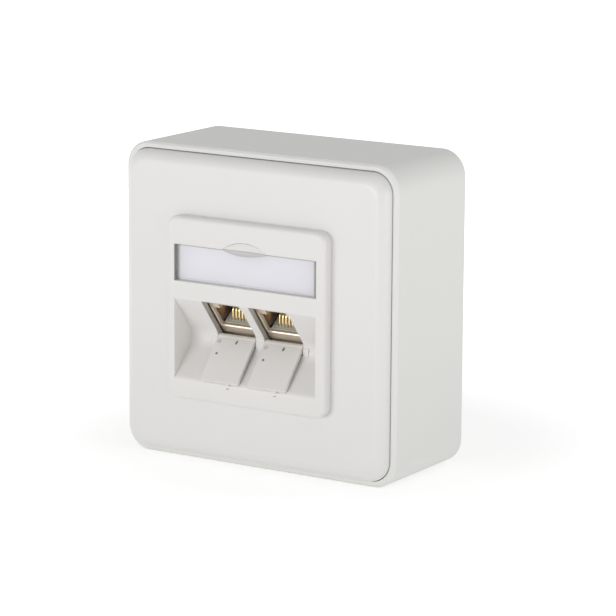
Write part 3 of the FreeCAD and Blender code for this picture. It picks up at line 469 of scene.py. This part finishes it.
def comb(x):
    """Pale comb: a floor with teeth between the contacts in front and a wedge under them behind.

    Each column of places down the section has one run in the margins, one in the grooves under
    the contacts and one in the teeth between them; along x the three take turns.
    """
    tooth_sides = np.array([0.21, 0.24, 0.78, 0.81]) * PITCH
    deep = np.array([3.3, 3.3, 4.3, 4.36, 5.3, 5.4, 6.9, 8.6, 12.9, 12.9])
    margin = np.array([12.2, 11.9, 11.9, 11.9, 11.9, 11.9, 11.9, 11.9, 11.9, 12.2])
    groove = np.array([12.2, 11.9, 11.9, 12.19, 12.19, 12.1, 10.7, 9.95, 9.2, 12.2])
    tooth = np.array([12.2, 11.9, 11.9, 11.45, 11.45, 11.6, 10.7, 9.95, 9.2, 12.2])
    steps = np.arange(-4, 4)[:, None] * PITCH + tooth_sides[None, :]
    ends = np.array([TEETH_HALF, TEETH_HALF + 0.02, COMB_HALF])
    across = np.concatenate([-ends[::-1], steps.ravel(), ends])
    runs = [margin, margin, tooth] + [tooth, groove, groove, tooth] * 8 + [tooth, margin, margin]
    return on_slope(x + across[:, None], np.array(runs), deep[None, :])


for side, x in JACKS:
    dress(f"jack_insert_{side}", insert_shade_dark)
    skin(f"contact_comb_{side}", comb(x), comb_pale, "housing")

# Contacts: eight sprung wires a jack, gold plated, bent over the front of the comb.
# They run from the board under the comb, round the front and up into the mouth.
contact_gold = plated("contact_gold", (1.0, 0.74, 0.34), 0.2, wear=0.04)
WIRE_WIDE, WIRE_THICK, WIRES = 0.25, 0.16, 8


def smooth_route(corners, steps):
    """Catmull-Rom curve through the corners, steps points to a span, in the plane of the wire."""
    ends = np.vstack([2 * corners[0] - corners[1], corners, 2 * corners[-1] - corners[-2]])
    t = np.linspace(0, 1, steps, endpoint=False)[None, :, None]
    a, b, c, d = (ends[i : len(ends) - 3 + i, None, :] for i in range(4))
    route = 0.5 * (2 * b + (c - a) * t + (2 * a - 5 * b + 4 * c - d) * t**2 + (3 * b - a - 3 * c + d) * t**3)
    return np.vstack([route.reshape(-1, 2), corners[-1:]])


def contact_wires(x):
    """Eight wires as one grid each: an oval section carried along the route, square to it."""
    corners = np.array([
        [16.8, 13.65], [10.0, 13.6], [5.9, 13.55], [4.9, 13.3], [4.62, 12.75],
        [4.75, 12.2], [5.6, 11.0], [6.5, 10.0], [7.6, 9.4], [9.6, 8.9], [12.7, 8.35],
    ])
    route = smooth_route(corners, 5)
    ahead = np.gradient(route, axis=0)
    ahead /= np.linalg.norm(ahead, axis=1, keepdims=True)
    square = np.stack([-ahead[:, 1], ahead[:, 0]], axis=1)
    angle = np.linspace(0, 2 * math.pi, 12, endpoint=False)
    wide, thick = WIRE_WIDE * np.cos(angle), WIRE_THICK * np.sin(angle)
    grids = []
    for step in np.arange(WIRES) - (WIRES - 1) / 2:
        spot = route[:, None, :] + square[:, None, :] * thick[None, :, None]
        grids.append(on_slope(x + step * PITCH + wide[None, :], spot[..., 1], spot[..., 0]))
    return grids


for side, x in JACKS:
    for number, grid in enumerate(contact_wires(x), start=1):
        wire = skin(f"contact_{side}_{number}", grid, contact_gold, "housing")
        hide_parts(f"jack_contacts_{side}")

# Rear of the jacks: board, terminal block with cutting contacts, wire cap, cable clamp and latch.
# Lacquered board, white and black mouldings, tinned bronze and stamped steel.
board_green = moulded("board_green", (0.03, 0.16, 0.06), 0.35, drift=0.06)
terminal_white = moulded("terminal_white", (0.70, 0.69, 0.66), 0.4, edge=0.1)
tinned_bronze = plated("tinned_bronze", (0.72, 0.68, 0.60), 0.3)
cap_black = moulded("cap_black", (0.03, 0.03, 0.032), 0.45, drift=0.05, edge=0.1)
clamp_steel = plated("clamp_steel", (0.60, 0.60, 0.60), 0.3, edge=0.1)
for side, x in JACKS:
    dress(f"jack_board_{side}", board_green)
    dress(f"idc_block_{side}", terminal_white)
    dress(f"idc_contacts_{side}", tinned_bronze)
    dress(f"wire_cap_{side}", cap_black)
    dress(f"cable_clamp_{side}", clamp_steel)
    dress(f"jack_latch_{side}", clamp_steel)

# Dust flaps: thinner mouldings, a shade greyer, hung on pins between the lugs.
# Each carries the mould's marks: an ejector pit, the gate on the barrel and a ring at its end.
# Their edges carry a painted highlight.
flap_white = moulded("flap_white", (0.825, 0.80, 0.775), 0.38, relief=0.012, edge=0.2, glint=0.5)
# The pit and the gate are coloured dark grey, painted shade for their hollows.
pit_shade_grey = moulded("pit_shade_grey", (0.17, 0.165, 0.16), 0.5, relief=0.01)
ring_and_tab_shadow_grey = moulded("ring_and_tab_shadow_grey", (0.50, 0.49, 0.47), 0.45, relief=0.01)
HINGE_Y, HINGE_Z, REST = -32.985, -8.901, math.radians(40)


def on_flap(x, down, out):
    """Places on an open flap by its width, the way down from the hinge and the height off it."""
    x, down, out = np.broadcast_arrays(x, down, out)
    y = HINGE_Y - math.sin(REST) * down - math.cos(REST) * out
    z = HINGE_Z - math.cos(REST) * down + math.sin(REST) * out
    return np.stack([x, y, z], axis=-1)


def on_front(x, z, out):
    """Places on the plate's front by their width, height and how far they stand out of it."""
    x, z, out = np.broadcast_arrays(x, z, out)
    return np.stack([x, PLATE_FACE - out, z], axis=-1)


def stamped(place, x, down, level, wide, long, slant, profile):
    """Round or long mark on a surface: a profile of radius share and height, turned about its middle.

    The turn is an oval of the two half sizes, leaned by slant, and place puts it on the surface.
    """
    angle = np.linspace(0, 2 * math.pi, 28, endpoint=False)[None, :]
    share = np.array([point[0] for point in profile])[:, None]
    rise = np.array([point[1] for point in profile])[:, None]
    u = wide * share * np.cos(angle)
    v = long * share * np.sin(angle)
    across = x + u * math.cos(slant) - v * math.sin(slant)
    along = down + u * math.sin(slant) + v * math.cos(slant)
    return place(across, along, level + rise + 0 * angle)


DOWN_FLAP = (0.0, -math.sin(REST), -math.cos(REST))
HINGE_DOWN = DOWN_FLAP[1] * HINGE_Y + DOWN_FLAP[2] * HINGE_Z
# The barrels carry a painted highlight: their colour is lighter than the flaps'.
BARREL_TOP, BARREL_LOW = -2.0, 0.3
tint(flap_white, (0.97, 0.93, 0.87), ("Object", DOWN_FLAP, HINGE_DOWN + BARREL_TOP, HINGE_DOWN + BARREL_LOW))
PIT = ((0.0, 0.0), (0.5, 0.005), (0.85, 0.02), (1.0, 0.0), (1.0, -0.08), (0.0, -0.08))
RING = ((0.55, -0.05), (0.6, 0.09), (0.78, 0.14), (0.95, 0.09), (1.0, -0.05), (0.55, -0.05))
TAB_SHADOW = ((0.0, 0.02), (0.5, 0.03), (0.85, 0.025), (1.0, 0.01), (1.0, -0.05), (0.0, -0.05))
# Name, place across and down the flap, height off it, half width, half length, slant, profile, colour
FLAP_MARKS = (
    ("ejector_pit", -4.2, 5.35, 1.36, 0.36, 0.36, 0.0, PIT, pit_shade_grey),
    ("gate_mark", 0.6, 1.4, 1.36, 0.32, 0.62, 0.2, PIT, pit_shade_grey),
    ("barrel_ring", -4.9, 1.6, 1.33, 0.55, 0.6, 0.0, RING, ring_and_tab_shadow_grey),
)
for side, x in JACKS:
    dress(f"dust_flap_{side}", flap_white)
    for mark, across, down, level, wide, long, slant, profile, colour in FLAP_MARKS:
        shape = stamped(on_flap, x + across, down, level, wide, long, slant, profile)
        skin(f"{mark}_{side}", shape, colour, f"flap_{side}", capped=False)
    # Below each flap's tab, a grey oval on the lip is a painted shadow of the tab.
    shape = stamped(on_front, x + 2.3, -20.35, level=0.0, wide=0.55, long=0.22, slant=0.1, profile=TAB_SHADOW)
    skin(f"lip_tab_shadow_{side}", shape, ring_and_tab_shadow_grey, "housing", capped=False)

# Carrier: cast ring on the housing's bosses, with the sloped cage for the jacks.
# The screws that hold it and the plate are zinc plated steel.
carrier_zinc = plated("carrier_zinc", (0.58, 0.58, 0.57), 0.42, edge=0.2)
dress("jack_carrier", carrier_zinc)
screw_zinc = plated("screw_zinc", (0.66, 0.66, 0.64), 0.28, edge=0.15)
dress("carrier_screws", screw_zinc)
dress("plate_screws", screw_zinc)

# Studio: pale floor under the housing, soft lamps in front and at the right, white surroundings.
# The floor keeps the shadow near the housing and turns plain white further out.
FLOOR_Z, FLOOR_HALF = -BOX_HALF * MM, 3.0
floor_corners = [(x * FLOOR_HALF, y * FLOOR_HALF, FLOOR_Z) for x, y in ((-1, -1), (1, -1), (1, 1), (-1, 1))]
mesh = bpy.data.meshes.new("floor")
mesh.from_pydata(floor_corners, [], [(0, 1, 2, 3)])
floor = bpy.data.objects.new("floor", mesh)
bpy.context.scene.collection.objects.link(floor)


def seen_directly(tree):
    """1 for camera, glossy and transmission rays, 0 for the light that falls on the object."""
    ray = tree.nodes.new("ShaderNodeLightPath")
    total = None
    for kind in ("Is Camera Ray", "Is Glossy Ray", "Is Transmission Ray"):
        if total is None:
            total = ray.outputs[kind]
            continue
        either = tree.nodes.new("ShaderNodeMath")
        either.operation = "MAXIMUM"
        tree.links.new(total, either.inputs[0])
        tree.links.new(ray.outputs[kind], either.inputs[1])
        total = either.outputs[0]
    return total


def floor_finish(name, lit, near, reach, on_object):
    """Floor that is lit plainly, and adds its own white to what sees it, more of it further out.

    The white rises from near to 1 over the reach. What reaches the object is on_object of it.
    """
    material = bpy.data.materials.new(name)
    material.use_nodes = True
    links = material.node_tree.links
    shader = material.node_tree.nodes["Principled BSDF"]
    shader.inputs["Base Color"].default_value = (lit, lit, lit, 1)
    shader.inputs["Roughness"].default_value = 0.8
    shader.inputs["Specular IOR Level"].default_value = 0.1
    shader.inputs["Emission Color"].default_value = (1, 1, 1, 1)
    place = add_node(material, "ShaderNodeTexCoord")
    away = add_node(material, "ShaderNodeVectorMath", operation="LENGTH")
    links.new(place.outputs["Object"], away.inputs[0])
    white = add_node(material, "ShaderNodeMapRange", To_Min=near, To_Max=1.0)
    white.inputs["From Min"].default_value, white.inputs["From Max"].default_value = reach
    links.new(away.outputs["Value"], white.inputs["Value"])
    bounce = add_node(material, "ShaderNodeMath", operation="MAXIMUM")
    bounce.inputs[1].default_value = on_object
    links.new(seen_directly(material.node_tree), bounce.inputs[0])
    strength = add_node(material, "ShaderNodeMath", operation="MULTIPLY")
    links.new(bounce.outputs[0], strength.inputs[0])
    links.new(white.outputs["Result"], strength.inputs[1])
    links.new(strength.outputs[0], shader.inputs["Emission Strength"])
    return material


floor_white = floor_finish("floor_white", lit=0.8, near=0.5, reach=(0.07, 0.20), on_object=0.35)
floor.data.materials.append(floor_white)

# The surroundings are plain white where they are seen, and light the object less brightly.
LIGHT_ON_OBJECT, PLAIN_WHITE = 0.515, 1.0
world = bpy.data.worlds.new("studio")
bpy.context.scene.world = world
world.use_nodes = True
sky = world.node_tree
background = sky.nodes["Background"]
background.inputs["Color"].default_value = (1, 1, 1, 1)
level = sky.nodes.new("ShaderNodeMix")
level.data_type = "FLOAT"
level.inputs[2].default_value = LIGHT_ON_OBJECT
level.inputs[3].default_value = PLAIN_WHITE
sky.links.new(seen_directly(sky), level.inputs[0])
sky.links.new(level.outputs[0], background.inputs["Strength"])


def lamp(name, place, width, height, power):
    """Soft rectangular lamp at a place, turned to the housing."""
    light = bpy.data.lights.new(name, "AREA")
    light.shape = "RECTANGLE"
    light.size = width
    light.size_y = height
    light.energy = power
    holder = bpy.data.objects.new(name, light)
    holder.location = place
    holder.rotation_mode = "QUATERNION"
    holder.rotation_quaternion = (-Vector(place)).to_track_quat("-Z", "Y")
    bpy.context.scene.collection.objects.link(holder)


lamp("front_lamp", (-0.27, -1.12, 0.03), width=0.6, height=0.14, power=3.5)
lamp("right_lamp", (1.15, -0.05, 0.05), width=0.6, height=0.18, power=2.8)

# Camera: placed and turned as the fit to the photograph's edges gives it.
# The fit's focal length is in pixels of the square photograph.
FOCAL_PIXELS, PHOTO_PIXELS, SENSOR = 3113.8, 616, 36.0
YAW, PITCH_DOWN, ROLL = math.radians(32.42), math.radians(11.74), math.radians(0.35)
EYE = (446.93, -713.86, 170.19)
camera_data = bpy.data.cameras.new("camera")
camera_data.sensor_width = SENSOR
camera_data.lens = FOCAL_PIXELS / PHOTO_PIXELS * SENSOR
camera_data.clip_start = 0.05
camera = bpy.data.objects.new("camera", camera_data)
bpy.context.scene.collection.objects.link(camera)
flat_ahead = Vector((-math.sin(YAW), math.cos(YAW), 0))
ahead = math.cos(PITCH_DOWN) * flat_ahead - Vector((0, 0, math.sin(PITCH_DOWN)))
level_right = ahead.cross(Vector((0, 0, 1))).normalized()
level_up = level_right.cross(ahead)
right = math.cos(ROLL) * level_right + math.sin(ROLL) * level_up
up = -math.sin(ROLL) * level_right + math.cos(ROLL) * level_up
turn = Matrix((right, up, -ahead)).transposed()
camera.rotation_mode = "QUATERNION"
camera.rotation_quaternion = turn.to_quaternion()
camera.location = Vector(EYE) * MM
bpy.context.scene.camera = camera
bpy.context.scene.view_settings.view_transform = "Standard"
